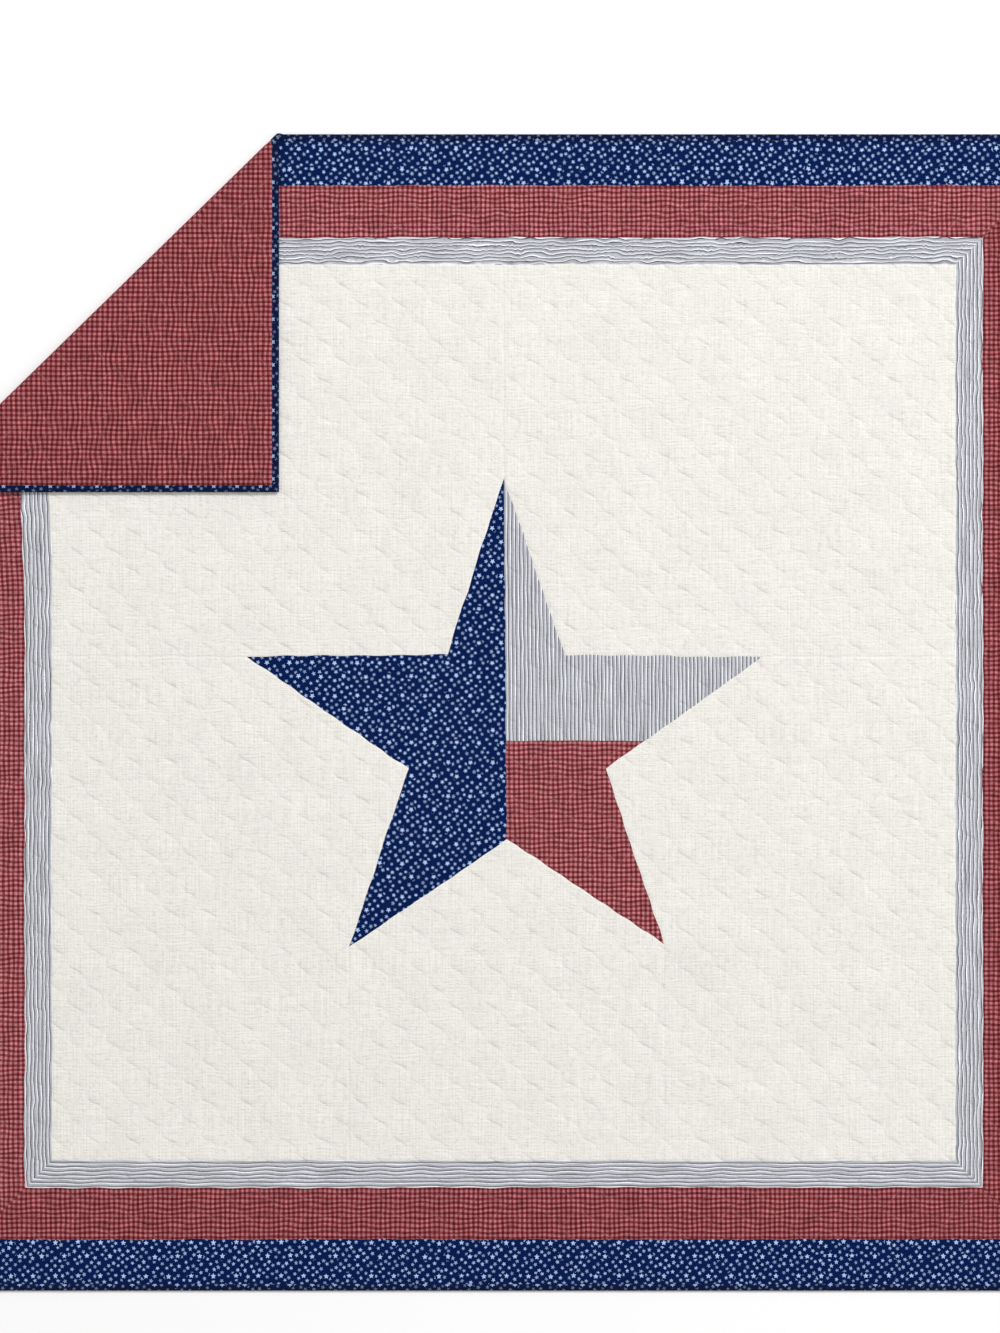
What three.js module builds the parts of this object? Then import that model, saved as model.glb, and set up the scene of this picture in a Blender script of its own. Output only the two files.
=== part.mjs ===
// A square star quilt lying flat, face up, with its upper left corner folded over onto its face.
// Millimetres, +Z up. The quilt's face is seen from above, with +X to its right and +Y to its top edge.
// The origin is under the middle of the box that the folded quilt fills, at the level it lies on.
//
// Both pieces are first drawn on the quilt as it was before it was folded: u runs to the right, v to the top
// edge, and h is the height above the backing. Then place() carries each point into the folded quilt.
import * as THREE from "three";
import { mergeVertices } from "three/addons/utils/BufferGeometryUtils.js";

// The quilt
const SIDE = 2286; // a 90 inch square, over its binding
const CELLS = 30; // quilted diamonds from side to side
const PUFF_HEIGHT = 6.5; // face above backing, in the middle of a diamond
const SEAM_HEIGHT = 3; // and where two lines of stitches cross
const BACK_PUFF = 2; // how far the backing swells where nothing presses it flat

// The binding, a folded strip of cloth sewn round the edge
const BINDING_WIDTH = 13;
const BINDING_HEIGHT = 5;
const BINDING_CLOTH = 1;
const BINDING_ROUND = 0.8; // at the two outer corners of its section
const GAP = 0.3; // between the binding and the quilt inside it
const RIM_WIDTH = 14; // of the pressed rim that the binding covers, and a little more
const RIM_SLOPE = 7; // over which the backing comes down from the rim to the floor

// The folded corner
const FOLD_ROW = 21; // the line of quilting that the fold starts at, counted from the middle of the quilt
const FOLD_RADIUS = 9; // of the backing round the fold
const FOLD_CORE = 3.6; // of the layer inside the fold that is neither stretched nor pressed together
const FLAP_HEIGHT = 13.5; // of the backing above the floor, where the folded corner lies flat
const SINK_ANGLE = THREE.MathUtils.degToRad(5.2); // at which the folded corner comes down from the fold
const FOLD_STEPS = 10; // facets round the fold
const STRETCH_LEFT = 0.036; // of the folded corner, to the left: it is folded on the bias there, and gives
const STRETCH_DOWN = 0.012; // and downwards
const STRETCH_FADE = 300; // from the fold to where the quilt under it lies unstretched

// Sizes that follow
const BODY_INSET = BINDING_CLOTH + GAP; // from the outer edge to the quilt inside the binding
const FIELD_INSET = BODY_INSET + RIM_WIDTH; // and to the first of the puffs
const FIELD_HALF = SIDE / 2 - FIELD_INSET;
const PITCH = (FIELD_HALF * Math.SQRT2) / CELLS; // between lines of quilting
const RIM_BOTTOM = BINDING_CLOTH + GAP;
const RIM_TOP = BINDING_HEIGHT - BINDING_CLOTH - GAP;
const FOLD_START = FOLD_ROW * PITCH;
const FOLD_ROWS = 2; // rows of diamonds that the fold and the way down from it take up
const FOLD_ARC = FOLD_CORE * (Math.PI + SINK_ANGLE);
const SINK_REACH = (2 * FOLD_RADIUS - FLAP_HEIGHT) / (1 - Math.cos(SINK_ANGLE));
const SINK_RADIUS = SINK_REACH - FOLD_RADIUS;
const SINK_LENGTH = SINK_RADIUS * SINK_ANGLE;
const FLAP_START = FOLD_START - SINK_REACH * Math.sin(SINK_ANGLE);

const smooth = (x) => THREE.MathUtils.smoothstep(x, 0, 1);

// The path of the backing across the fold, as a point (out, up) and the angle that the cloth has turned by.
// along is the distance from the start of the fold, on the flat quilt.
function foldPath(along) {
  if (along <= 0) return { out: FOLD_START + along, up: 0, turn: 0 };
  if (along <= FOLD_ARC) {
    const turn = along / FOLD_CORE;
    const out = FOLD_START + FOLD_RADIUS * Math.sin(turn);
    return { out, up: FOLD_RADIUS * (1 - Math.cos(turn)), turn };
  }
  if (along <= FOLD_ARC + SINK_LENGTH) {
    const turn = Math.PI + SINK_ANGLE - (along - FOLD_ARC) / SINK_RADIUS;
    const top = FLAP_HEIGHT + SINK_RADIUS;
    return { out: FLAP_START - SINK_RADIUS * Math.sin(turn), up: top + SINK_RADIUS * Math.cos(turn), turn };
  }
  return { out: FLAP_START - (along - FOLD_ARC - SINK_LENGTH), up: FLAP_HEIGHT, turn: Math.PI };
}

// The place in the folded quilt of a point of the flat one. The fold runs at 45 degrees across the upper left
// corner, so a point is first turned into its distances along the fold and out towards that corner.
function place({ u, v }, h) {
  const side = (u + v) / Math.SQRT2;
  const along = (v - u) / Math.SQRT2 - FOLD_START;
  const { out, up, turn } = foldPath(along);
  const far = out - h * Math.sin(turn);
  const x = (side - far) / Math.SQRT2;
  const y = (side + far) / Math.SQRT2;
  const flapEdge = SIDE / 2 - (FOLD_START + FLAP_START + FOLD_ARC + SINK_LENGTH) / Math.SQRT2;
  const pull = smooth(1 + Math.min(along, 0) / STRETCH_FADE);
  return new THREE.Vector3(
    x - STRETCH_LEFT * pull * Math.max(flapEdge - x, 0),
    y - STRETCH_DOWN * pull * Math.max(SIDE / 2 - y, 0),
    up + h * Math.cos(turn),
  );
}

// A point of the flat quilt by its distances along the fold and out towards the folded corner.
const across = (side, out) => ({ u: (side - out) / Math.SQRT2, v: (side + out) / Math.SQRT2 });

// 0 on the lines of quilting and 1 in the middle of each diamond, as a four-sided point.
function puff({ u, v }) {
  const gap = (w) => Math.abs(w - Math.round(w));
  return 2 * Math.min(gap((u + v) / Math.SQRT2 / PITCH), gap((v - u) / Math.SQRT2 / PITCH));
}

const inField = ({ u, v }) => Math.max(Math.abs(u), Math.abs(v)) < FIELD_HALF - 0.01;

function faceHeight(p) {
  return inField(p) ? SEAM_HEIGHT + (PUFF_HEIGHT - SEAM_HEIGHT) * puff(p) : RIM_TOP;
}

function backHeight(p) {
  if (!inField(p)) return RIM_BOTTOM;
  const free = ((p.v - p.u) / Math.SQRT2 - FOLD_START) / (FOLD_ROWS * PITCH);
  return -BACK_PUFF * puff(p) * smooth(free);
}

// The rows of points across the fold, as distances out from the middle of the quilt: close together round the
// fold, then four to a diamond.
function foldRows() {
  const rows = [];
  for (let i = 0; i <= FOLD_STEPS; i++) rows.push(FOLD_START + (FOLD_ARC * i) / FOLD_STEPS);
  for (let i = 2; i <= 4 * FOLD_ROWS; i++) rows.push(FOLD_START + (PITCH * i) / 4);
  return rows;
}

const FOLD_ROW_LIST = foldRows();
const FOLD_END = FOLD_ROW_LIST.at(-1);

// One row's points, from one edge of the puffed field to the other: two to a diamond, but one where the row
// meets the diamonds beside the fold.
function rowPoints(out) {
  const end = CELLS * PITCH - out;
  const step = out === FOLD_START || out === FOLD_END ? PITCH : PITCH / 2;
  const points = [across(-end, out)];
  for (let i = Math.ceil(-end / step); i * step <= end; i++) {
    if (end - Math.abs(i * step) > 1) points.push(across(i * step, out));
  }
  points.push(across(end, out));
  return points;
}

// Triangles between two rows of points that run the same way. measure tells how far along a point lies.
function between(near, far, measure) {
  const found = [];
  let i = 0;
  let j = 0;
  while (i < near.length - 1 || j < far.length - 1) {
    const takeNear = j === far.length - 1
      || (i < near.length - 1 && measure(near[i + 1]) <= measure(far[j + 1]));
    found.push(takeNear ? [near[i], near[++i], far[j]] : [near[i], far[j + 1], far[j++]]);
  }
  return found;
}

const sideOf = ({ u, v }) => u + v;

// The strips across the fold. first is the row at its start, which the underside gives more points.
function foldStrips(first) {
  const rows = FOLD_ROW_LIST.map(rowPoints);
  rows[0] = first ?? rows[0];
  return rows.slice(1).flatMap((row, i) => between(rows[i], row, sideOf));
}

// Quilted diamonds, each with a point in its middle, for the rows of diamonds that pass the test. Plain half
// diamonds close the field at its edges.
function diamonds(wanted) {
  const found = [];
  const inside = ([a, b]) => Math.abs(a) + Math.abs(b) <= CELLS;
  const point = ([a, b]) => across(a * PITCH, b * PITCH);
  for (let n = -CELLS; n < CELLS; n++) {
    if (!wanted(n)) continue;
    for (let m = -CELLS; m < CELLS; m++) {
      const corners = [[m, n], [m + 1, n], [m + 1, n + 1], [m, n + 1]].filter(inside).map(point);
      const middle = point([m + 0.5, n + 0.5]);
      if (corners.length === 3) found.push(corners);
      if (corners.length === 4) corners.forEach((p, i) => found.push([middle, p, corners[(i + 1) % 4]]));
    }
  }
  return found;
}

// The stations round the edge of the field, against the clock from the lower left corner. Each is a point of
// that edge and the step that leads one millimetre out from it: square to the edge, to a corner of the quilt,
// or along its row where the fold crosses the edge.
function stations() {
  const found = [];
  const half = FIELD_HALF;
  const edge = (i) => -half + (2 * half * i) / CELLS;
  const folded = (out) => out > FOLD_START - 1 && out < FOLD_END + 1;
  const slide = (out) => out * Math.SQRT2;
  const plain = Array.from({ length: CELLS }, (_, i) => i * PITCH).filter((out) => !folded(out));
  const outs = [...plain, ...FOLD_ROW_LIST].sort((a, b) => a - b);
  for (let i = 0; i < CELLS; i++) found.push({ u: edge(i), v: -half, du: i ? 0 : -1, dv: -1 });
  for (let i = 0; i < CELLS; i++) found.push({ u: half, v: edge(i), du: 1, dv: i ? 0 : -1 });
  for (const out of outs) {
    found.push({ u: half - slide(out), v: half, du: folded(out) || !out ? 1 : 0, dv: 1 });
  }
  found.push({ u: -half, v: half, du: -1, dv: 1 });
  for (const out of outs.filter(Boolean).reverse()) {
    found.push({ u: -half, v: slide(out) - half, du: -1, dv: folded(out) ? -1 : 0 });
  }
  return found;
}

const STATIONS = stations();

// The point of a station that lies the given distance in from the outer edge of the quilt.
function at({ u, v, du, dv }, inset) {
  const out = FIELD_INSET - inset;
  return { u: u + du * out, v: v + dv * out };
}

const outOf = ({ u, v }) => (v - u) / Math.SQRT2;
const onFlat = (station) => outOf(station) < FOLD_START + 0.01;

// The pressed rim, as triangles between two insets, for each pair of neighbouring stations that is wanted.
function rimStrip(outer, inner, wanted = () => true) {
  const found = [];
  STATIONS.forEach((a, i) => {
    const b = STATIONS[(i + 1) % STATIONS.length];
    if (!wanted(a, b)) return;
    found.push([at(a, outer), at(b, outer), at(b, inner)], [at(a, outer), at(b, inner), at(a, inner)]);
  });
  return found;
}

// The flat underside, up to the fold: five sides of points that lead in to five corners, and the middle.
function underside(foldRow) {
  const inset = FIELD_INSET + RIM_SLOPE;
  const inner = 6 * inset;
  const half = SIDE / 2 - inner;
  const out = FOLD_START - inner;
  const corners = [
    { u: -half, v: -half },
    { u: half, v: -half },
    { u: half, v: half },
    { u: half - out * Math.SQRT2, v: half },
    { u: -half, v: out * Math.SQRT2 - half },
  ];
  const flat = STATIONS.filter(onFlat);
  const loop = flat.map((station) => at(station, inset));
  const turns = flat.flatMap(({ du, dv }, i) => (du && dv ? [i] : []));
  const sides = [
    loop.slice(turns[0], turns[1] + 1),
    loop.slice(turns[1], turns[2] + 1),
    loop.slice(turns[2], turns[3] + 1),
    foldRow.slice(1, -1).reverse(),
    [...loop.slice(turns[4]), loop[0]],
  ];
  const ends = [corners, [...corners.slice(1), corners[0]]];
  const found = [];
  sides.forEach((side, i) => {
    const from = side[0];
    const to = side.at(-1);
    const measure = (p) => (p.u - from.u) * (to.u - from.u) + (p.v - from.v) * (to.v - from.v);
    found.push(...between(side, [ends[0][i], ends[1][i]], measure));
  });
  for (let i = 1; i < corners.length - 1; i++) found.push([corners[0], corners[i], corners[i + 1]]);
  return found;
}

// The quilt itself: pieced face, filling and backing, stitched through into one cloth.
function quiltBody() {
  const foldRow = rowPoints(FOLD_START);
  const slopeFoot = (point, way) => {
    const step = RIM_SLOPE * way;
    return { u: point.u + step, v: point.v + step };
  };
  foldRow.splice(1, 0, slopeFoot(foldRow[0], 1));
  foldRow.splice(-1, 0, slopeFoot(foldRow.at(-1), -1));
  const isFoldRow = (n) => n >= FOLD_ROW && n < FOLD_ROW + FOLD_ROWS;
  const rim = rimStrip(BODY_INSET, FIELD_INSET);
  const face = [...diamonds((n) => !isFoldRow(n)), ...foldStrips(), ...rim];
  const slope = rimStrip(FIELD_INSET, FIELD_INSET + RIM_SLOPE, (a, b) => onFlat(a) && onFlat(b));
  const floor = underside(foldRow);
  const back = [...diamonds((n) => n >= FOLD_ROW + FOLD_ROWS), ...foldStrips(foldRow), ...rim, ...slope];
  const points = [];
  for (const triangle of face) points.push(...triangle.map((p) => place(p, faceHeight(p))));
  const backPoint = (p) => {
    const onSlope = outOf(p) < FOLD_START + 0.01;
    return place(p, onSlope && inField(p) ? 0 : backHeight(p));
  };
  for (const [a, b, c] of back) points.push(...[a, c, b].map(backPoint));
  for (const [a, b, c] of floor) points.push(...[a, c, b].map((p) => place(p, 0)));
  STATIONS.forEach((station, i) => {
    const a = at(station, BODY_INSET);
    const b = at(STATIONS[(i + 1) % STATIONS.length], BODY_INSET);
    const [low, high] = [RIM_BOTTOM, RIM_TOP];
    points.push(place(a, low), place(b, low), place(b, high), place(a, low), place(b, high), place(a, high));
  });
  return points;
}

// The binding: a U section, open to the inside, that follows the edge all the way round.
function binding() {
  const [top, cloth, round] = [BINDING_HEIGHT, BINDING_CLOTH, BINDING_ROUND];
  const section = [
    [BINDING_WIDTH, 0], [round, 0], [0, round], [0, top - round], [round, top], [BINDING_WIDTH, top],
    [BINDING_WIDTH, top - cloth], [cloth, top - cloth], [cloth, cloth], [BINDING_WIDTH, cloth],
  ];
  const rings = STATIONS.map((station) => section.map(([inset, h]) => place(at(station, inset), h)));
  const points = [];
  rings.forEach((ring, i) => {
    const next = rings[(i + 1) % rings.length];
    ring.forEach((a, j) => {
      const k = (j + 1) % ring.length;
      points.push(a, next[j], next[k], a, next[k], ring[k]);
    });
  });
  return points;
}

// A closed mesh from its triangles' corners.
function cloth(name, points, color, roughness) {
  const geometry = mergeVertices(new THREE.BufferGeometry().setFromPoints(points), 1e-3);
  geometry.computeVertexNormals();
  const material = new THREE.MeshStandardMaterial({ color, roughness, metalness: 0, flatShading: true });
  const mesh = new THREE.Mesh(geometry, material);
  mesh.name = name;
  return mesh;
}

const quilt = new THREE.Group();
quilt.add(cloth("quilt_body", quiltBody(), 0xf4f0ea, 0.95));
quilt.add(cloth("binding", binding(), 0x20365f, 0.9));
const middle = new THREE.Box3().setFromObject(quilt).getCenter(new THREE.Vector3());
quilt.position.set(-middle.x, -middle.y, 0);

const part = new THREE.Group();
part.add(quilt);
export default part;
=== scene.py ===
# %% [markdown]
# # A star quilt with one corner folded over
#
# The quilt is pieced from four cottons, laid over a thin filling and a gingham backing, and stitched
# through in slanting lines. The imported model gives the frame. Every piece here is first cut and quilted
# flat, as a maker would do, and is then carried over the fold by the same sizes as the solid.

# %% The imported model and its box
import math

import bpy
import numpy as np
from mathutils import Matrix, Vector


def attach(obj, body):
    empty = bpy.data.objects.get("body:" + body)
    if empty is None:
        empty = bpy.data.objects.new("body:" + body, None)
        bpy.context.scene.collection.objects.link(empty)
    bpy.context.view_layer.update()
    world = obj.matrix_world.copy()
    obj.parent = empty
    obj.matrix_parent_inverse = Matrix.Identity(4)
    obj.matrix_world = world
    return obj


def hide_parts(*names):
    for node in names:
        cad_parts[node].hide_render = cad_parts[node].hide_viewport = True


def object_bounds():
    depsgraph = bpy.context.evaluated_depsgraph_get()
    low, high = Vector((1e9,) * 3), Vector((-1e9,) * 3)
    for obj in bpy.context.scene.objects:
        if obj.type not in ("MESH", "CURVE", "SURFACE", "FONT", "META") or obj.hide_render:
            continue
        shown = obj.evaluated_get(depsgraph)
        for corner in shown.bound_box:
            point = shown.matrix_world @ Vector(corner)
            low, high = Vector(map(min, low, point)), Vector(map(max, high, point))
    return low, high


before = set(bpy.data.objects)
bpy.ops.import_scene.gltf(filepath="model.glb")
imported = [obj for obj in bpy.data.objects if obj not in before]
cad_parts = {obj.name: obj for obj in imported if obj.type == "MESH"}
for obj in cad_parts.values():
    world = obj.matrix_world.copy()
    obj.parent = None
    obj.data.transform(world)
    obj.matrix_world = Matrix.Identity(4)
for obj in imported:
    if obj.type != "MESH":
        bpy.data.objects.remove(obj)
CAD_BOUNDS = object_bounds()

# %% [markdown]
# The sizes are those of the solid, in metres. u runs to the right and v to the top edge of the quilt as it
# was before it was folded, with both at nought in its middle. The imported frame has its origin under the
# middle of the folded quilt instead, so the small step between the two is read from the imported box.

# %% Sizes of the quilt and its fold
SIDE = 2.286
HALF = SIDE / 2
CELLS = 30
ROOT2 = math.sqrt(2)
PITCH = (HALF - 0.0153) * ROOT2 / CELLS
FOLD_ROW = 21
FOLD_START = FOLD_ROW * PITCH
FOLD_RADIUS = 0.009
FOLD_CORE = 0.0036
FLAP_HEIGHT = 0.0135
SINK_ANGLE = math.radians(5.2)
STRETCH_LEFT = 0.036
STRETCH_DOWN = 0.012
STRETCH_FADE = 0.3
FOLD_ARC = FOLD_CORE * (math.pi + SINK_ANGLE)
SINK_REACH = (2 * FOLD_RADIUS - FLAP_HEIGHT) / (1 - math.cos(SINK_ANGLE))
SINK_RADIUS = SINK_REACH - FOLD_RADIUS
SINK_LENGTH = SINK_RADIUS * SINK_ANGLE
FLAP_START = FOLD_START - SINK_REACH * math.sin(SINK_ANGLE)
FLAP_EDGE = HALF - (FOLD_START + FLAP_START + FOLD_ARC + SINK_LENGTH) / ROOT2

SHIFT_X = CAD_BOUNDS[1].x - HALF
SHIFT_Y = CAD_BOUNDS[0].y + HALF
print(f"line of quilting every {PITCH * 1000:.1f} mm, shift {SHIFT_X * 1000:.2f}, {SHIFT_Y * 1000:.2f} mm")

# %% [markdown]
# The camera looks straight down, as one that hangs from a boom over the floor. A long lens keeps the
# sides of the quilt parallel. It is moved up a little from the quilt's middle, because the picture has more
# room above the quilt than below, and it cuts the left and right borders.

# %% Camera
METRES_PER_PIXEL = 0.001976
LENS = 100
SENSOR = 36
camera_data = bpy.data.cameras.new("camera")
camera_data.lens = LENS
camera_data.sensor_width = SENSOR
camera = bpy.data.objects.new("camera", camera_data)
bpy.context.scene.collection.objects.link(camera)
picture_height = 1333 * METRES_PER_PIXEL
camera.location = (
    SHIFT_X - 3.7 * METRES_PER_PIXEL,
    SHIFT_Y + 46 * METRES_PER_PIXEL,
    picture_height * LENS / SENSOR + 0.005,
)
camera_data.clip_end = 100
bpy.context.scene.camera = camera
print(f"camera {camera.location.z:.2f} m above the quilt")

# %% [markdown]
# Cloth is never quite even. This helper gives soft, uneven values from a seeded draw, so that each run
# gives the same quilt: one value for each square of a given size, blended smoothly between them.

# %% Soft uneven values
def smooth(x):
    x = np.clip(x, 0, 1)
    return x * x * (3 - 2 * x)


def uneven(x, y, size, seed):
    draws = np.random.default_rng(seed).uniform(-1, 1, (512, 512))
    x, y = x / size + 100.5, y / size + 100.5
    left, low = np.floor(x).astype(int), np.floor(y).astype(int)
    s, t = smooth(x - left), smooth(y - low)
    pick = lambda i, j: draws[(left + i) % 512, (low + j) % 512]
    bottom = pick(0, 0) * (1 - s) + pick(1, 0) * s
    top = pick(0, 1) * (1 - s) + pick(1, 1) * s
    return bottom * (1 - t) + top * t


print("uneven values", uneven(np.array([0.0, 0.1]), np.array([0.0, 0.1]), 0.05, 1).round(2))

# %% [markdown]
# Two families of stitched lines slant across the quilt and cross in diamonds. Counted in lines, a runs up
# to the right and b up to the left. The stitching pulls the lines into a shallow S between two crossings,
# and the cloth between them swells into a puff that rises steeply beside the stitches and is nearly flat
# on top. The pull and the swelling are written as functions of the flat quilt, so that every piece that
# is sewn into it meets its neighbours.

# %% Lines of quilting, their pull and the puffs between them
PULL = 0.0035
CROSS_PULL = 0.5
SEAM_GIVE = 0.22
SEAM_HEIGHT = 0.003
PUFF = 0.0026
TIGHT_SHARE = 0.42
BROAD_SHARE = 0.22
CROSS_SHARE = 0.4
WANDER = 0.0012
BACK_PUFF = 0.0024
RIM_HEIGHT = 0.0034
BINDING_WIDTH = 0.013


def lines_at(u, v):
    return (u + v) / ROOT2 / PITCH, (v - u) / ROOT2 / PITCH


def inside_edge(u, v):
    return smooth((HALF - np.maximum(np.abs(u), np.abs(v)) - BINDING_WIDTH) / 0.014)


def pull_of_stitches(u, v, from_seam=1.0):
    a, b = lines_at(u, v)
    near_fold = smooth((np.abs(b - FOLD_ROW - 0.2) - 0.35) / 0.8)
    held = SEAM_GIVE + (1 - SEAM_GIVE) * smooth(from_seam / 0.022)
    strength = PULL * held * inside_edge(u, v) * (1 + 0.4 * uneven(u, v, 0.09, 11)) * near_fold
    along_a = strength * np.sin(2 * math.pi * b)
    along_b = -CROSS_PULL * strength * np.sin(2 * math.pi * a)
    du = (along_a - along_b) / ROOT2
    dv = (along_a + along_b) / ROOT2
    wander = WANDER * inside_edge(u, v)
    return du + wander * uneven(u, v, 0.07, 12), dv + wander * uneven(u, v, 0.07, 13)


def swelling(u, v):
    """Near 0 on the firm lines that run down to the right, and 1 on top of a puff."""
    a, b = lines_at(u, v)
    risen = []
    for w, along, share, seed in ((a, b, 1.0, 21), (b, a, CROSS_SHARE, 25)):
        off = np.abs(w - np.round(w))
        broad = (1 - 2 * off) ** 3
        tight = np.exp(-off * PITCH / 0.0022)
        middle = np.sin(math.pi * along) ** 2
        firm = (0.12 + 0.88 * middle) * np.clip(0.6 + 0.6 * uneven(u, v, 0.028, seed), 0.1, 1)
        risen.append(1 - share * (firm * tight * TIGHT_SHARE + broad * BROAD_SHARE))
    return risen[0] * risen[1]


def crinkle(u, v, seed):
    """Small slanting wrinkles, longer than they are wide, and slow rises and dips."""
    along, across = u * 0.94 - v * 0.34, u * 0.34 + v * 0.94
    small = uneven(along / 2.4, across, 0.016, seed) * (0.5 + 0.5 * uneven(u, v, 0.05, seed + 1))
    return 0.00025 * small + 0.00025 * uneven(u, v, 0.035, seed + 2) + 0.0004 * uneven(u, v, 0.16, seed + 3)


def face_height(u, v):
    a, b = lines_at(u, v)
    puff = PUFF * swelling(u, v) * (0.88 + 0.12 * uneven(u, v, PITCH, 22))
    height = SEAM_HEIGHT + puff + crinkle(u, v, 23)
    rolled = smooth((b - FOLD_ROW + 0.4) / 0.4)
    height = height - 0.3 * rolled * np.maximum(height - SEAM_HEIGHT, 0)
    share = inside_edge(u, v)
    return RIM_HEIGHT * (1 - share) + height * share


print("puffs", face_height(np.array([0.0, 0.0]), np.array([0.0, PITCH * ROOT2 / 2])).round(5))

# %% [markdown]
# The fold is a round bend, and past it the corner sinks gently until it lies on the quilt's face. A point
# of the flat quilt is split into its distance along the fold and its distance out to the corner. The second
# follows the path over the fold, and its height above the backing turns with it.

# %% The way over the fold
def fold_path(along):
    out = FOLD_START + np.minimum(along, 0)
    up = np.zeros_like(along)
    turn = np.zeros_like(along)
    bend = (along > 0) & (along <= FOLD_ARC)
    turn[bend] = along[bend] / FOLD_CORE
    out[bend] = FOLD_START + FOLD_RADIUS * np.sin(turn[bend])
    up[bend] = FOLD_RADIUS * (1 - np.cos(turn[bend]))
    sink = (along > FOLD_ARC) & (along <= FOLD_ARC + SINK_LENGTH)
    turn[sink] = math.pi + SINK_ANGLE - (along[sink] - FOLD_ARC) / SINK_RADIUS
    out[sink] = FLAP_START - SINK_RADIUS * np.sin(turn[sink])
    up[sink] = FLAP_HEIGHT + SINK_RADIUS + SINK_RADIUS * np.cos(turn[sink])
    flap = along > FOLD_ARC + SINK_LENGTH
    turn[flap] = math.pi
    out[flap] = FLAP_START - (along[flap] - FOLD_ARC - SINK_LENGTH)
    up[flap] = FLAP_HEIGHT
    return out, up, turn


def folded(points):
    u, v, h = points.T
    side = (u + v) / ROOT2
    along = (v - u) / ROOT2 - FOLD_START
    out, up, turn = fold_path(along)
    far = out - h * np.sin(turn)
    x = (side - far) / ROOT2
    y = (side + far) / ROOT2
    pulled = smooth(1 + np.minimum(along, 0) / STRETCH_FADE)
    x = x - STRETCH_LEFT * pulled * np.maximum(FLAP_EDGE - x, 0)
    y = y - STRETCH_DOWN * pulled * np.maximum(HALF - y, 0)
    return np.column_stack([x + SHIFT_X, y + SHIFT_Y, up + h * np.cos(turn)])


corner = folded(np.array([[-HALF, HALF, 0.0]]))[0]
print(f"the folded corner comes to x {corner[0]:.3f}, y {corner[1]:.3f}, z {corner[2]:.4f}")

# %% Points in and out of a mesh
def only(piece):
    bpy.ops.object.select_all(action="DESELECT")
    piece.select_set(True)
    bpy.context.view_layer.objects.active = piece


def points_of(piece):
    found = np.zeros(len(piece.data.vertices) * 3)
    piece.data.vertices.foreach_get("co", found)
    return found.reshape(-1, 3)


def move_points(piece, points):
    piece.data.vertices.foreach_set("co", points.astype(np.float32).ravel())
    piece.data.update()


def face_centres(piece):
    found = np.zeros(len(piece.data.polygons) * 3)
    piece.data.polygons.foreach_get("center", found)
    return found.reshape(-1, 3)


def select_faces(piece, wanted):
    """Selects these faces and nothing else, and leaves the piece in edit mode."""
    only(piece)
    bpy.ops.object.mode_set(mode="EDIT")
    bpy.ops.mesh.select_mode(type="FACE")
    bpy.ops.mesh.select_all(action="DESELECT")
    bpy.ops.object.mode_set(mode="OBJECT")
    piece.data.polygons.foreach_set("select", np.asarray(wanted, dtype=bool))
    bpy.ops.object.mode_set(mode="EDIT")


print("helpers ready")

# %% [markdown]
# A patch starts as a plain grid with one square for each quilted diamond. The squares that lie off the
# patch are deleted, the rest are subdivided, and the new rows are drawn together towards the stitches,
# where the cloth bends most. Then the patch is bisected along its seams, with two more cuts just inside
# each, so that the cloth has points where it dips into the seam.

# %% Cutting a patch from the grid
CUTS = 8
CROWDING = 0.62
SEAM_ROWS = (0.0022, 0.0055)


def distance_to(outline, x, y):
    nearest = np.full(x.shape, 9.0)
    for (px, py), (qx, qy) in zip(outline, outline[1:] + outline[:1]):
        wide, high = qx - px, qy - py
        share = np.clip(((x - px) * wide + (y - py) * high) / (wide * wide + high * high), 0, 1)
        nearest = np.minimum(nearest, np.hypot(x - px - share * wide, y - py - share * high))
    return nearest


def within(outline, x, y):
    crossed = np.zeros(x.shape, dtype=bool)
    for (px, py), (qx, qy) in zip(outline, outline[1:] + outline[:1]):
        if py != qy:
            crossing = px + (y - py) * (qx - px) / (qy - py)
            crossed ^= ((py > y) != (qy > y)) & (x < crossing)
    return crossed


def area_of(outline):
    pairs = zip(outline, outline[1:] + outline[:1])
    return abs(sum(px * qy - qx * py for (px, py), (qx, qy) in pairs)) / 2


def grid_over(name, outline):
    a, b = lines_at(*np.array(outline).T)
    a_low, a_high = math.floor(a.min()), math.ceil(a.max())
    b_low, b_high = math.floor(b.min()), math.ceil(b.max())
    a_middle, b_middle = (a_low + a_high) / 2 * PITCH, (b_low + b_high) / 2 * PITCH
    bpy.ops.object.select_all(action="DESELECT")
    bpy.ops.mesh.primitive_grid_add(
        x_subdivisions=a_high - a_low,
        y_subdivisions=b_high - b_low,
        size=PITCH,
        location=((a_middle - b_middle) / ROOT2, (a_middle + b_middle) / ROOT2, 0),
        rotation=(0, 0, math.radians(45)),
    )
    piece = bpy.context.object
    piece.scale = (a_high - a_low, b_high - b_low, 1)
    piece.name = piece.data.name = name
    bpy.ops.object.transform_apply(location=True, rotation=True, scale=True)
    x, y, _ = face_centres(piece).T
    kept = within(outline, x, y) | (distance_to(outline, x, y) < PITCH * 0.75)
    select_faces(piece, ~kept)
    bpy.ops.mesh.delete(type="FACE")
    bpy.ops.object.mode_set(mode="OBJECT")
    return piece


def crowd_rows(piece):
    points = points_of(piece)
    a, b = lines_at(points[:, 0], points[:, 1])
    a, b = (w - CROWDING * np.sin(2 * math.pi * w) / (2 * math.pi) for w in (a, b))
    points[:, 0] = (a - b) * PITCH / ROOT2
    points[:, 1] = (a + b) * PITCH / ROOT2
    move_points(piece, points)


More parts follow.
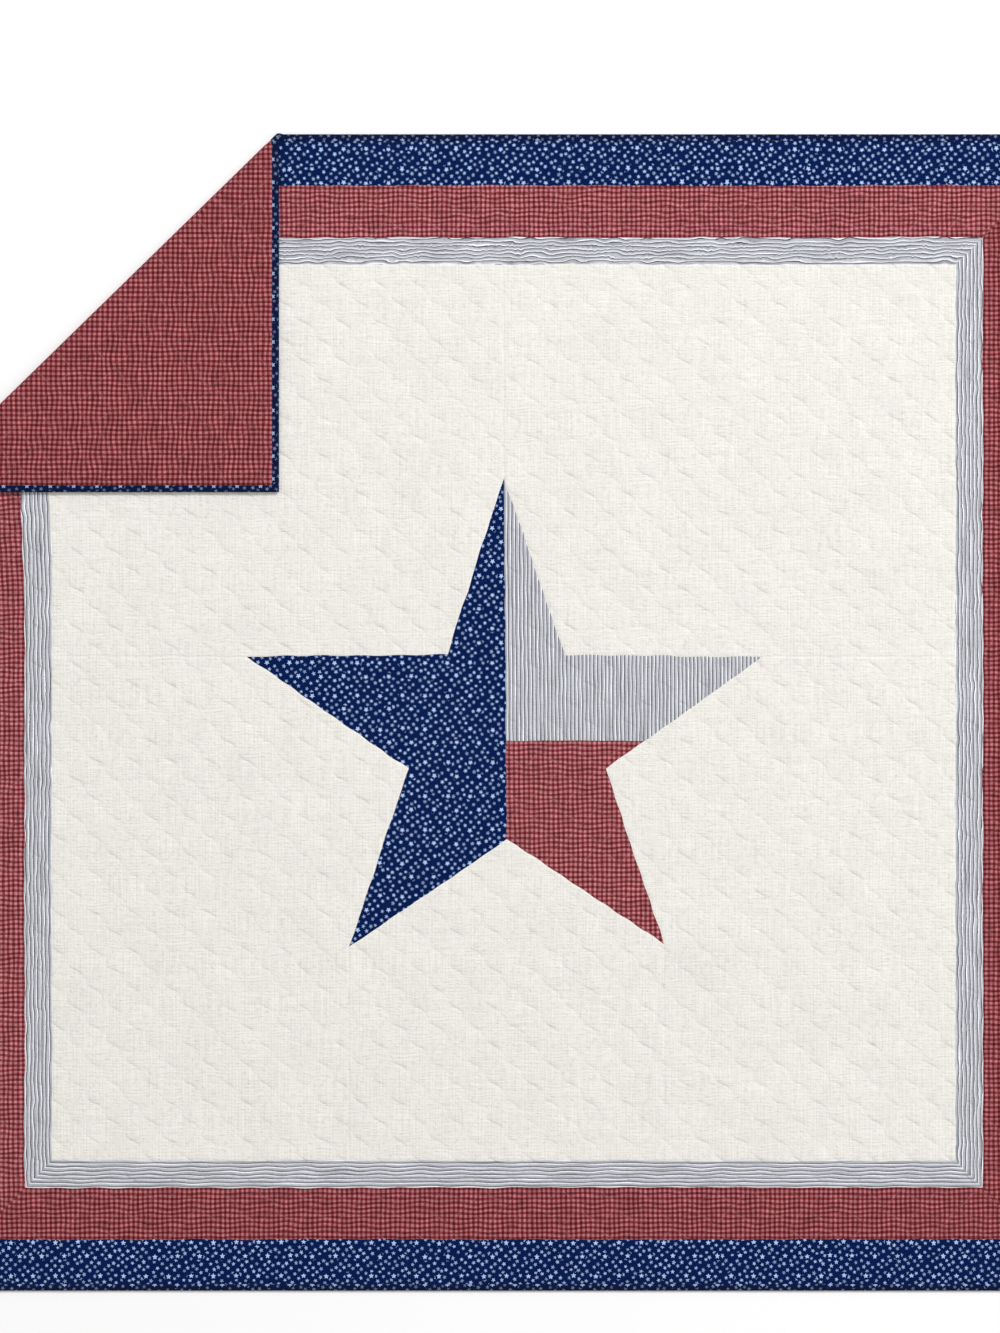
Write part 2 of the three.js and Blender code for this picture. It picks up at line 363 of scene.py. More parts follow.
def bisect(place, way, clear=False):
    bpy.ops.mesh.select_all(action="SELECT")
    bpy.ops.mesh.bisect(
        plane_co=(*place, 0), plane_no=(*way, 0), clear_outer=clear, threshold=0.00002
    )


def trim(piece, outline, rows=SEAM_ROWS):
    middle = np.array(outline)
    only(piece)
    bpy.ops.object.mode_set(mode="EDIT")
    bpy.ops.mesh.select_mode(type="VERT")
    for (px, py), (qx, qy) in zip(outline, outline[1:] + outline[:1]):
        length = math.hypot(qx - px, qy - py)
        way = ((qy - py) / length, (px - qx) / length)
        beyond = (middle - (px, py)) @ np.array(way)
        bisect((px, py), way, clear=beyond.max() < 0.001)
        for row in rows:
            bisect((px - way[0] * row, py - way[1] * row), way)
    bpy.ops.object.mode_set(mode="OBJECT")
    x, y, _ = face_centres(piece).T
    select_faces(piece, ~within(outline, x, y))
    bpy.ops.mesh.delete(type="FACE")
    bpy.ops.object.mode_set(mode="OBJECT")


print("a diamond gets", (CUTS + 1) ** 2, "faces")

# %% [markdown]
# Where a patch goes over the fold it needs more rows, or the bend would show its facets. They are bisected
# square to the fold's way out, closer together than the bend's radius.

# %% Rows for the fold
FOLD_CUTS = [FOLD_START + FOLD_ARC * i / 12 for i in range(-1, 14)]


def crosses_fold(outline):
    _, b = lines_at(*np.array(outline).T)
    return b.max() > FOLD_ROW + 0.1


def cut_fold_rows(piece):
    only(piece)
    bpy.ops.object.mode_set(mode="EDIT")
    for out in FOLD_CUTS:
        bisect((-out / ROOT2, out / ROOT2), (-1 / ROOT2, 1 / ROOT2))
    bpy.ops.object.mode_set(mode="OBJECT")


print(len(FOLD_CUTS), "rows round the fold")

# %% [markdown]
# Each piece keeps two maps on its cloth. The map called cloth is in metres and tells where a thread was on
# the flat cloth, turned so that its stripes run along the piece. It holds back a small part of what the
# stitches pull, and a crimp across the stripes is added, so that they waver as stitched cloth does. The map
# called quilting counts the stitched lines, so that a material can find them. The backing goes round the
# outside of the fold and is longer there than the core, so its map is given more length in the bend.

# %% Maps for the threads and for the stitches
def write_map(piece, name, x, y):
    layer = piece.data.uv_layers.new(name=name)
    corners = np.zeros(len(piece.data.loops), dtype=np.int64)
    piece.data.loops.foreach_get("vertex_index", corners)
    layer.data.foreach_set("uv", np.column_stack([x, y])[corners].astype(np.float32).ravel())


HELD_ACROSS = 0.12
HELD_UP = 0.4
CRIMP = 0.0004


def map_cloth(piece, outline, turn, start, seed, crimp=CRIMP, round_fold=0.0):
    u, v, _ = points_of(piece).T
    du, dv = pull_of_stitches(u, v, distance_to(outline, u, v))
    du, dv = du * (1 - HELD_ACROSS), dv * (1 - HELD_UP)
    x = u + du + 0.0005 * uneven(u, v, 0.05, seed + 1) + 0.0012 * uneven(u, v, 0.19, seed + 4) - start[0]
    y = v + dv + 0.0008 * uneven(u, v, 0.045, seed + 3) + 0.0012 * uneven(u, v, 0.19, seed + 5) - start[1]
    _, b = lines_at(u, v)
    longer = round_fold * np.clip(b * PITCH - FOLD_START, 0, FOLD_ARC) / ROOT2
    x, y = x - longer, y + longer
    c, s = math.cos(turn), math.sin(turn)
    along, across = x * c + y * s, y * c - x * s
    wavered = crimp * uneven(along / 1.5, across * 1.7, 0.014, seed + 2)
    along = along + 0.5 * crimp * uneven(along, across / 1.5, 0.016, seed + 6)
    across = across + wavered
    write_map(piece, "cloth", along, across)
    write_map(piece, "quilting", *lines_at(u, v))


print("maps ready")

# %% [markdown]
# Quilting a patch puts its points at the height of the face, dips its edges into the seams and lets the
# stitches pull it. Solidify then gives the cloth its thickness, downwards, while the patch is still flat
# enough for that to be simple, and last the patch is carried over the fold.

# %% Quilting and folding a patch
CLOTH = 0.001
SEAM_DIP = 0.2
SEAM_WIDTH = 0.004
DIP_FLOOR = 0.0022
SMOOTH_ANGLE = math.radians(50)


def quilt_patch(piece, outline):
    points = points_of(piece)
    u, v = points[:, 0], points[:, 1]
    from_seam = distance_to(outline, u, v)
    dip = 1 - smooth(from_seam / SEAM_WIDTH)
    height = face_height(u, v)
    height = height - SEAM_DIP * dip * np.maximum(height - DIP_FLOOR, 0)
    du, dv = pull_of_stitches(u, v, from_seam)
    move_points(piece, np.column_stack([u + du, v + dv, height]))


def thicken(piece, thickness):
    only(piece)
    solidify = piece.modifiers.new("thickness", "SOLIDIFY")
    solidify.thickness = thickness
    solidify.offset = -1
    bpy.ops.object.modifier_apply(modifier=solidify.name)


def settle(piece):
    move_points(piece, folded(points_of(piece)))
    only(piece)
    bpy.ops.object.shade_smooth_by_angle(angle=SMOOTH_ANGLE)


def sew_in(piece, node, area=None):
    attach(piece, "root")
    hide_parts(node)


def patch(name, outline, cloth, turn=0.0, start=(0.0, 0.0), seed=100, crimp=CRIMP):
    piece = grid_over(name, outline)
    only(piece)
    bpy.ops.object.mode_set(mode="EDIT")
    bpy.ops.mesh.select_all(action="SELECT")
    bpy.ops.mesh.subdivide(number_cuts=CUTS)
    bpy.ops.object.mode_set(mode="OBJECT")
    crowd_rows(piece)
    if crosses_fold(outline):
        cut_fold_rows(piece)
    trim(piece, outline)
    map_cloth(piece, outline, turn, start, seed, crimp)
    quilt_patch(piece, outline)
    thicken(piece, CLOTH)
    settle(piece)
    piece.data.materials.append(cloth)
    wide, high = np.ptp(np.array(outline), axis=0)
    sew_in(piece, "quilt_body", area_of(outline))
    print(f"{name}: {wide:.3f} by {high:.3f} m, {area_of(outline):.3f} m2, {len(piece.data.polygons)} faces")


# %% [markdown]
# Materials come next, from small node groups that several cloths share. These helpers build a group with
# named sockets, add a sum, and mix two colours, so that the recipes below stay short.

# %% Helpers for node groups
def feed(tree, socket, value):
    if isinstance(value, bpy.types.NodeSocket):
        tree.links.new(value, socket)
    else:
        socket.default_value = value


def calc(tree, operation, *values):
    node = tree.nodes.new("ShaderNodeMath")
    node.operation = operation
    for socket, value in zip(node.inputs, values):
        feed(tree, socket, value)
    return node.outputs[0]


def clamp(tree, value):
    node = tree.nodes.new("ShaderNodeClamp")
    feed(tree, node.inputs[0], value)
    return node.outputs[0]


def mix(tree, share, first, second, how="MIX"):
    node = tree.nodes.new("ShaderNodeMix")
    node.data_type = "RGBA"
    node.blend_type = how
    feed(tree, node.inputs[0], share)
    feed(tree, node.inputs[6], first)
    feed(tree, node.inputs[7], second)
    return node.outputs[2]


def split(tree, vector):
    node = tree.nodes.new("ShaderNodeSeparateXYZ")
    feed(tree, node.inputs[0], vector)
    return node.outputs[0], node.outputs[1]


def join(tree, x, y, z=0.0):
    node = tree.nodes.new("ShaderNodeCombineXYZ")
    for socket, value in zip(node.inputs, (x, y, z)):
        feed(tree, socket, value)
    return node.outputs[0]


def speckle(tree, vector, scale=1.0, detail=1.0):
    node = tree.nodes.new("ShaderNodeTexNoise")
    node.noise_dimensions = "2D"
    feed(tree, node.inputs["Vector"], vector)
    node.inputs["Scale"].default_value = scale
    node.inputs["Detail"].default_value = detail
    return node.outputs[0]


def new_group(name, inputs, outputs):
    tree = bpy.data.node_groups.new(name, "ShaderNodeTree")
    for label, kind, value in inputs:
        socket = tree.interface.new_socket(label, in_out="INPUT", socket_type="NodeSocket" + kind)
        if value is not None:
            socket.default_value = value
    for label, kind in outputs:
        tree.interface.new_socket(label, in_out="OUTPUT", socket_type="NodeSocket" + kind)
    source = tree.nodes.new("NodeGroupInput")
    drain = tree.nodes.new("NodeGroupOutput")
    return tree, source.outputs, drain.inputs


def use_group(tree, name, **values):
    node = tree.nodes.new("ShaderNodeGroup")
    node.node_tree = bpy.data.node_groups[name]
    for label, value in values.items():
        feed(tree, node.inputs[label.replace("_", " ")], value)
    return node.outputs


def srgb(red, green, blue):
    """A colour as an image shows it, from 0 to 255, as Blender reckons it."""
    shares = [value / 255 for value in (red, green, blue)]
    linear = [c / 12.92 if c <= 0.04045 else ((c + 0.055) / 1.055) ** 2.4 for c in shares]
    return (*linear, 1.0)


print("cream is", [round(c, 3) for c in srgb(244, 240, 235)])

# %% [markdown]
# Plain weave is threads that go over and under each other, about two to a millimetre here. Two waves, one
# along each set of threads, make its height, and long thin noise gives the thick and thin places that
# real yarn has.

# %% Node group: weave
YARN = 430.0
SLUB_ALONG = 13.0
tree, given, result = new_group(
    "weave",
    [("Cloth", "Vector", None), ("Thread", "Float", 0.0005), ("Slub", "Float", 0.05)],
    [("Height", "Float"), ("Shade", "Float")],
)
x, y = split(tree, given["Cloth"])
turns = calc(tree, "DIVIDE", 2 * math.pi, given["Thread"])
wave_x = calc(tree, "SINE", calc(tree, "MULTIPLY", x, turns))
wave_y = calc(tree, "SINE", calc(tree, "MULTIPLY", y, turns))
over = calc(tree, "MULTIPLY", wave_x, wave_y)
feed(tree, result["Height"], calc(tree, "MULTIPLY_ADD", over, 0.5, 0.5))
warp = speckle(tree, join(tree, calc(tree, "MULTIPLY", x, YARN), calc(tree, "MULTIPLY", y, SLUB_ALONG)))
weft = speckle(tree, join(tree, calc(tree, "MULTIPLY", x, SLUB_ALONG), calc(tree, "MULTIPLY", y, YARN)))
both = calc(tree, "SUBTRACT", calc(tree, "ADD", warp, weft), 1.0)
feed(tree, result["Shade"], calc(tree, "MULTIPLY_ADD", both, given["Slub"], 1.0))
print("group", tree.name, len(tree.nodes), "nodes")

# %% [markdown]
# The stitches are found from the map of quilting: a stitched line lies wherever one of the two counts is a
# whole number. Halfway between two crossings the cloth is drawn into a crease, firmer in some places than
# in others, and beside the line it is gathered into short puckers across it. The thread shows as dashes a
# few millimetres long. Two slanting noises give the soft and the sharp wrinkles between the lines. The sizes
# here are in millimetres.

# %% Node group: quilting
CREASE_WIDTH = 1.1
GATHER_WIDTH = 6.0
PUCKER_LENGTH = 3.6
STITCH_LENGTH = 3.4
STITCH_WIDTH = 0.3
tree, given, result = new_group(
    "quilting",
    [("Lines", "Vector", None), ("Cross", "Float", 0.3)],
    [("Groove", "Float"), ("Thread", "Float"), ("Relief", "Float"), ("Wrinkle", "Float")],
)
a, b = split(tree, given["Lines"])
grooves, threads, puckers = [], [], []
for across, along, seed, share in ((a, b, 3.7, 1.0), (b, a, 9.1, given["Cross"])):
    whole = calc(tree, "ROUND", across)
    off = calc(tree, "MULTIPLY", calc(tree, "SUBTRACT", across, whole), PITCH * 1000)
    away = calc(tree, "ABSOLUTE", off)
    travel = calc(tree, "MULTIPLY", along, PITCH * 1000)
    draw = tree.nodes.new("ShaderNodeTexWhiteNoise")
    draw.noise_dimensions = "2D"
    feed(tree, draw.inputs["Vector"], join(tree, calc(tree, "ADD", whole, seed), calc(tree, "FLOOR", along)))
    from_middle = calc(tree, "ABSOLUTE", calc(tree, "SUBTRACT", calc(tree, "FRACT", along), 0.5))
    middle = clamp(tree, calc(tree, "MULTIPLY_ADD", from_middle, -3.2, 1.35))
    drawn = calc(tree, "MULTIPLY_ADD", draw.outputs[0], 0.8, 0.2)
    firm = calc(tree, "MULTIPLY", middle, calc(tree, "MULTIPLY", drawn, share))
    line = calc(tree, "EXPONENT", calc(tree, "DIVIDE", away, -CREASE_WIDTH))
    grooves.append(calc(tree, "MULTIPLY", line, firm))
    fading = calc(tree, "EXPONENT", calc(tree, "DIVIDE", away, -GATHER_WIDTH))
    shifted = calc(tree, "MULTIPLY_ADD", whole, seed, calc(tree, "DIVIDE", off, 14.0))
    where = join(tree, calc(tree, "DIVIDE", travel, PUCKER_LENGTH), shifted)
    puckers.append(calc(tree, "MULTIPLY", speckle(tree, where), fading))
    dash = calc(tree, "LESS_THAN", calc(tree, "FRACT", calc(tree, "DIVIDE", travel, STITCH_LENGTH)), 0.6)
    threads.append(calc(tree, "MULTIPLY", dash, calc(tree, "LESS_THAN", away, STITCH_WIDTH)))
# The groove mask is used only to paint light into the colour along the creases: shade on most cloths, a
# highlight on the gingham.
feed(tree, result["Groove"], calc(tree, "MAXIMUM", *grooves))
feed(tree, result["Thread"], calc(tree, "MAXIMUM", *threads))

right = calc(tree, "MULTIPLY", calc(tree, "SUBTRACT", a, b), PITCH * 1000 / ROOT2)
up = calc(tree, "MULTIPLY", calc(tree, "ADD", a, b), PITCH * 1000 / ROOT2)


def slanted_noise(slant, length, width):
    c, s = math.cos(slant), math.sin(slant)
    lengthwise = calc(tree, "MULTIPLY_ADD", up, s / length, calc(tree, "MULTIPLY", right, c / length))
    crosswise = calc(tree, "MULTIPLY_ADD", up, c / width, calc(tree, "MULTIPLY", right, -s / width))
    return speckle(tree, join(tree, lengthwise, crosswise))


soft = slanted_noise(math.radians(-20), 20.0, 6.5)
sharp = slanted_noise(math.radians(-9), 13.0, 1.9)
# The sharp wrinkles give bump, and also paint shade into most cloths and a highlight into the gingham.
wrinkle = clamp(tree, calc(tree, "MULTIPLY_ADD", sharp, 9.0, -5.6))
feed(tree, result["Wrinkle"], wrinkle)
gathers = calc(tree, "MULTIPLY", calc(tree, "ADD", *puckers), 0.35)
relief = calc(tree, "MULTIPLY_ADD", soft, 0.4, gathers)
feed(tree, result["Relief"], calc(tree, "MULTIPLY_ADD", wrinkle, -0.2, relief))
print("group", tree.name, len(tree.nodes), "nodes")

# %% [markdown]
# Gingham is woven from equal stripes of dyed and undyed yarn both ways. So the colour follows from
# counting dyed stripes.

# %% Node group: gingham
DYED_YARN = 230.0
DYE_ALONG = 22.0
tree, given, result = new_group(
    "gingham",
    [
        ("Cloth", "Vector", None),
        ("Repeat", "Float", 0.0096),
        ("Dark", "Color", srgb(96, 25, 32)),
        ("Middle", "Color", srgb(134, 63, 68)),
        ("Light", "Color", srgb(186, 121, 125)),
    ],
    [("Color", "Color")],
)
dyed, streaks = [], []
parts = split(tree, given["Cloth"])
for part, other in (parts, parts[::-1]):
    turns = calc(tree, "DIVIDE", part, given["Repeat"])
    wave = calc(tree, "SINE", calc(tree, "MULTIPLY", turns, 2 * math.pi))
    dyed.append(clamp(tree, calc(tree, "MULTIPLY_ADD", wave, 2.0, 0.5)))
    place = join(tree, calc(tree, "MULTIPLY", part, DYED_YARN), calc(tree, "MULTIPLY", other, DYE_ALONG))
    streaks.append(speckle(tree, place))
count = calc(tree, "ADD", *dyed)
pale = mix(tree, clamp(tree, count), given["Light"], given["Middle"])
check = mix(tree, clamp(tree, calc(tree, "SUBTRACT", count, 1.0)), pale, given["Dark"])
uneven_dye = calc(tree, "MULTIPLY_ADD", calc(tree, "ADD", *streaks), 0.8, 0.2)
feed(tree, result["Color"], mix(tree, 1.0, check, join(tree, uneven_dye, uneven_dye, uneven_dye), "MULTIPLY"))
print("group", tree.name, len(tree.nodes), "nodes")

# %% [markdown]
# Ticking is striped in one direction: a pale blue grey ground with a dark hairline beside a white one. One
# repeat is a colour ramp across the stripe.

# %% Node group: ticking
tree, given, result = new_group(
    "ticking", [("Cloth", "Vector", None), ("Repeat", "Float", 0.0076)], [("Color", "Color")]
)
x, y = split(tree, given["Cloth"])
ramp = tree.nodes.new("ShaderNodeValToRGB")
feed(tree, ramp.inputs[0], calc(tree, "FRACT", calc(tree, "DIVIDE", y, given["Repeat"])))
STREAK_ALONG = 11.0
STREAK_ACROSS = 520.0
STRIPES = [
    (0.00, (196, 198, 204)),
    (0.22, (182, 184, 190)),
    (0.42, (164, 166, 172)),
    (0.56, (148, 150, 156)),
    (0.61, (62, 65, 74)),
    (0.73, (70, 73, 82)),
    (0.78, (226, 225, 232)),
    (0.95, (236, 235, 240)),
]
while len(ramp.color_ramp.elements) < len(STRIPES):
    ramp.color_ramp.elements.new(0.5)
for element, (position, colour) in zip(ramp.color_ramp.elements, STRIPES):
    element.position = position
    element.color = srgb(*colour)
place = join(tree, calc(tree, "MULTIPLY", x, STREAK_ALONG), calc(tree, "MULTIPLY", y, STREAK_ACROSS))
streak = calc(tree, "MULTIPLY_ADD", speckle(tree, place), 1.1, 0.44)
feed(tree, result["Color"], mix(tree, 1.0, ramp.outputs[0], join(tree, streak, streak, streak), "MULTIPLY"))
print("group", tree.name, len(STRIPES), "stops")

# %% [markdown]
# The navy cloth is printed with five-pointed stars. An image could be used, but a star drawn from the angle
# round its own centre stays sharp at any size: the edge's distance swings between the points and the notches
# five times in a turn.

# %% Node group: one printed star
PRINT_SHARPNESS = 2500.0
tree, given, result = new_group(
    "printed star",
    [("Offset", "Vector", None), ("Radius", "Float", 0.0025), ("Turn", "Float", 0.0)],
    [("Mask", "Float")],
)
x, y = split(tree, given["Offset"])
away = calc(tree, "SQRT", calc(tree, "ADD", calc(tree, "MULTIPLY", x, x), calc(tree, "MULTIPLY", y, y)))
fifth = calc(tree, "MULTIPLY", calc(tree, "ARCTAN2", x, y), 5 / (2 * math.pi))
turned = calc(tree, "FRACT", calc(tree, "ADD", fifth, given["Turn"]))
swing = calc(tree, "ABSOLUTE", calc(tree, "SUBTRACT", turned, 0.5))
reach = calc(tree, "MULTIPLY_ADD", calc(tree, "POWER", calc(tree, "MULTIPLY", swing, 2.0), 1.4), 0.55, 0.45)
edge = calc(tree, "MULTIPLY", reach, given["Radius"])
inside = calc(tree, "SUBTRACT", edge, away)
feed(tree, result["Mask"], clamp(tree, calc(tree, "MULTIPLY_ADD", inside, PRINT_SHARPNESS, 0.5)))
print("group", tree.name, len(tree.nodes), "nodes")

# %% [markdown]
# The print strews small pale stars at about a centimetre from each other, and sets larger ones between them
# in a regular repeat. Each small one stands in its own cell of a slanting, uneven lattice, which keeps them
# apart but not in rows, and none is printed close to a large one.

# %% Node group: star print
LARGE_REPEAT = (0.0445, 0.066)
LARGE_STARS = ((0.0, 0.0), (0.0175, 0.039))
LARGE_RADIUS = 0.0052
CLEAR_ROUND_LARGE = 0.0078
SMALL_SPACING = 0.0123
SMALL_SCATTER = 0.4
SMALL_RADIUS, RADIUS_SPREAD = 0.0035, 0.0009
SLANT_ALONG, SLANT_ACROSS = 0.8, 0.6
tree, given, result = new_group(
    "star print",
    [
        ("Cloth", "Vector", None),
        ("Ground", "Color", srgb(0, 24, 76)),
        ("Star", "Color", srgb(174, 200, 240)),
        ("Strewn", "Float", 1.0),
    ],
    [("Color", "Color")],
)
x, y = split(tree, given["Cloth"])
large, clear = [], []
for across, up in LARGE_STARS:
    offsets = []
    for value, start, repeat in ((x, across, LARGE_REPEAT[0]), (y, up, LARGE_REPEAT[1])):
        share = calc(tree, "FRACT", calc(tree, "DIVIDE", calc(tree, "SUBTRACT", value, start), repeat))
        offsets.append(calc(tree, "MULTIPLY", calc(tree, "SUBTRACT", share, 0.5), repeat))
    offset = join(tree, *offsets)
    large.append(use_group(tree, "printed star", Offset=offset, Radius=LARGE_RADIUS, Turn=0.5)["Mask"])
    length = tree.nodes.new("ShaderNodeVectorMath")
    length.operation = "LENGTH"
    feed(tree, length.inputs[0], offset)
    clear.append(calc(tree, "GREATER_THAN", length.outputs["Value"], CLEAR_ROUND_LARGE))
cells = tree.nodes.new("ShaderNodeTexVoronoi")
cells.voronoi_dimensions = "2D"
cells.inputs["Scale"].default_value = 1 / SMALL_SPACING
cells.inputs["Randomness"].default_value = SMALL_SCATTER
slanted_x = calc(tree, "MULTIPLY_ADD", x, SLANT_ALONG, calc(tree, "MULTIPLY", y, SLANT_ACROSS))
slanted_y = calc(tree, "MULTIPLY_ADD", y, SLANT_ALONG, calc(tree, "MULTIPLY", x, -SLANT_ACROSS))
slanted = join(tree, slanted_x, slanted_y)
feed(tree, cells.inputs["Vector"], slanted)
step = tree.nodes.new("ShaderNodeVectorMath")
step.operation = "SUBTRACT"
feed(tree, step.inputs[0], slanted)
feed(tree, step.inputs[1], cells.outputs["Position"])
chance = tree.nodes.new("ShaderNodeSeparateColor")
feed(tree, chance.inputs[0], cells.outputs["Color"])
radius = calc(tree, "MULTIPLY_ADD", chance.outputs[0], RADIUS_SPREAD, SMALL_RADIUS)
small = use_group(tree, "printed star", Offset=step.outputs[0], Radius=radius, Turn=chance.outputs[1])["Mask"]
small = calc(tree, "MULTIPLY", small, given["Strewn"])
small = calc(tree, "MULTIPLY", small, calc(tree, "MULTIPLY", *clear))
small = calc(tree, "MULTIPLY", small, calc(tree, "MULTIPLY_ADD", chance.outputs[2], 0.45, 0.45))
shown = calc(tree, "MAXIMUM", small, calc(tree, "MAXIMUM", *large))
feed(tree, result["Color"], mix(tree, shown, given["Ground"], given["Star"]))
print("group", tree.name, len(tree.nodes), "nodes")

# %% [markdown]
# The cream cotton has a faint woven check: a slightly heavier, warmer thread every six or seven
# millimetres both ways. It is only just visible.

# %% Node group: faint check
tree, given, result = new_group(
    "faint check",
    [
        ("Cloth", "Vector", None),
        ("Repeat", "Float", 0.0065),
        ("Ground", "Color", srgb(234, 231, 226)),
        ("Line", "Color", srgb(227, 223, 213)),
    ],
    [("Color", "Color")],
)
lines = []
for part in split(tree, given["Cloth"]):
    turns = calc(tree, "DIVIDE", part, given["Repeat"])
    wave = calc(tree, "SINE", calc(tree, "MULTIPLY", turns, 2 * math.pi))
    lines.append(clamp(tree, calc(tree, "MULTIPLY_ADD", wave, 3.0, -2.0)))
feed(tree, result["Color"], mix(tree, clamp(tree, calc(tree, "ADD", *lines)), given["Ground"], given["Line"]))
print("group", tree.name, len(tree.nodes), "nodes")

# %% [markdown]
# Every cloth material is built alike: its own pattern on the map of the cloth, varied by the slubs of
# the yarn, with a little painted light along the grooves and sharp wrinkles, and with bump for the puckers
# and the weave. Cotton is matt, with a faint sheen from its loose fibres. Those even values go straight on
# the shader's sockets. On the cream, the ticking and the navy the creases are painted as darker dashes of
# shade, while on the gingham their raised edges are painted as faint, pale hairlines of highlight.

# %% A cloth material
THREAD_SHARE = 0.35
# The first set paints shade into the colour along the creases and wrinkles; the second, for the gingham,
# paints pale highlights there instead.
PAINTED_CREASE_SHADE = dict(groove=-0.34, wrinkle=-0.12, pale=0.0, cross=0.3)
PAINTED_RIDGE_HIGHLIGHT = dict(groove=0.0, wrinkle=0.1, pale=0.28, cross=0.8)


def cloth_material(name, pattern, thread_and_highlight_colour, slub=0.1, sheen=0.02, marks=PAINTED_CREASE_SHADE, **values):
    material = bpy.data.materials.new(name)
    material.use_nodes = True
    tree = material.node_tree
    shader = tree.nodes["Principled BSDF"]
    threads = tree.nodes.new("ShaderNodeUVMap")
    threads.uv_map = "cloth"
    lines = tree.nodes.new("ShaderNodeUVMap")
    lines.uv_map = "quilting"
    colour = use_group(tree, pattern, Cloth=threads.outputs[0], **values)["Color"]
    weave = use_group(tree, "weave", Cloth=threads.outputs[0], Slub=slub)
    stitches = use_group(tree, "quilting", Lines=lines.outputs[0], Cross=marks["cross"])
    worn = calc(tree, "MULTIPLY_ADD", speckle(tree, threads.outputs[0], 9.0, 3.0), 0.07, 0.965)
    shade = calc(tree, "MULTIPLY", weave["Shade"], worn)
    # Painted shade: the grooves and sharp wrinkles darken the colour, except on the gingham, where the
    # wrinkles lighten it as a painted highlight.
    for mark in ("Groove", "Wrinkle"):
        painted_light = calc(tree, "MULTIPLY_ADD", stitches[mark], marks[mark.lower()], 1.0)
        shade = calc(tree, "MULTIPLY", shade, painted_light)
    shaded = mix(tree, 1.0, colour, join(tree, shade, shade, shade), "MULTIPLY")
    # Painted highlight: on the gingham the grooves also mix in the pale thread colour as hairlines; elsewhere
    # only the stitches do.
    shown = calc(tree, "MULTIPLY", stitches["Thread"], THREAD_SHARE)
    shown = calc(tree, "MULTIPLY_ADD", stitches["Groove"], marks["pale"], shown)
    thread_and_painted_highlight = mix(tree, clamp(tree, shown), shaded, thread_and_highlight_colour)
    feed(tree, shader.inputs["Base Color"], thread_and_painted_highlight)
    shader.inputs["Specular IOR Level"].default_value = 0.08
    shader.inputs["Sheen Weight"].default_value = sheen
    shader.inputs["Sheen Roughness"].default_value = 0.6
    feed(tree, shader.inputs["Roughness"], calc(tree, "MULTIPLY_ADD", weave["Height"], -0.08, 0.95))
    puckers = tree.nodes.new("ShaderNodeBump")
    puckers.inputs["Distance"].default_value = 0.001
    puckers.inputs["Strength"].default_value = 1.0
    raised = calc(tree, "MULTIPLY_ADD", stitches["Thread"], 0.08, stitches["Relief"])
    feed(tree, puckers.inputs["Height"], raised)
    fine = tree.nodes.new("ShaderNodeBump")
    fine.inputs["Distance"].default_value = 0.0001
    fine.inputs["Strength"].default_value = 0.4
    feed(tree, fine.inputs["Height"], weave["Height"])
    feed(tree, fine.inputs["Normal"], puckers.outputs[0])
    feed(tree, shader.inputs["Normal"], fine.outputs[0])
    print("material", name)
    return material


# The second colour is the thread's; on the two ginghams it is also the colour of the painted pale highlights
# along the creases.
CREAM = cloth_material("cream cotton", "faint check", srgb(250, 248, 244), slub=0.2)
NAVY = cloth_material("navy star print", "star print", srgb(40, 55, 95), sheen=0.0)
GINGHAM = cloth_material("red gingham", "gingham", srgb(200, 142, 145), marks=PAINTED_RIDGE_HIGHLIGHT)
TICKING = cloth_material("blue grey ticking", "ticking", srgb(225, 226, 232))
DEEP = dict(Dark=srgb(89, 20, 26), Middle=srgb(128, 56, 61), Light=srgb(175, 111, 115))
BACKING_GINGHAM = cloth_material("backing gingham", "gingham", srgb(190, 130, 134), marks=PAINTED_RIDGE_HIGHLIGHT, **DEEP)
BINDING_COLOURS = dict(Ground=srgb(6, 22, 62), Star=srgb(160, 182, 218), Strewn=0.55)
BINDING_CLOTH = cloth_material("navy binding", "star print", srgb(40, 55, 95), sheen=0.0, **BINDING_COLOURS)

# %% [markdown]
# The star has five points and is pieced from three cloths, and the cream ground is pieced round it. The
# seams between the cream patches run from the tips of the star straight to the sides of the field.

# %% Outlines of the star and its ground
FIELD_X, FIELD_Y = 0.893, 0.8855
TIP_TOP, TIP_RIGHT, TIP_LEFT = (-0.0004, 0.4634), (0.5124, 0.1097), (-0.5072, 0.1097)
TIP_LOW_RIGHT, TIP_LOW_LEFT = (0.3167, -0.4574), (-0.3057, -0.4634)
NOTCH_UP_LEFT, NOTCH_UP_RIGHT = (-0.1111, 0.1156), (0.1211, 0.1136)
NOTCH_RIGHT, NOTCH_LOW, NOTCH_LEFT = (0.2021, -0.1107), (0.0065, -0.25), (-0.1881, -0.1116)
SEAM_MIDDLE, SEAM_RIGHT = (0.0046, -0.0563), (0.2787, -0.0563)
TOP_SEAM, LEFT_SEAM, RIGHT_SEAM = (-0.001, FIELD_Y), (-FIELD_X, 0.1116), (FIELD_X, 0.1116)
LOW_LEFT_SEAM, LOW_RIGHT_SEAM = (-0.3057, -FIELD_Y), (0.3167, -FIELD_Y)

patch(
    "star_left",
    [TIP_TOP, NOTCH_UP_LEFT, TIP_LEFT, NOTCH_LEFT, TIP_LOW_LEFT, NOTCH_LOW, SEAM_MIDDLE],
    NAVY,
    seed=200,
)
patch(
    "star_upper_right",
    [TIP_TOP, SEAM_MIDDLE, SEAM_RIGHT, TIP_RIGHT, NOTCH_UP_RIGHT],
    TICKING,
    turn=math.radians(90.4),
    seed=210,
)
patch(
    "star_lower_right",
    [SEAM_MIDDLE, NOTCH_LOW, TIP_LOW_RIGHT, NOTCH_RIGHT, SEAM_RIGHT],
    GINGHAM,
    seed=220,
)

# %% [markdown]
# Five cream patches fill the field round the star. One sheet with a star cut out of it would look alike from
# afar, but the seams show as faint lines, so each patch is its own and dips into its seams as the star does.

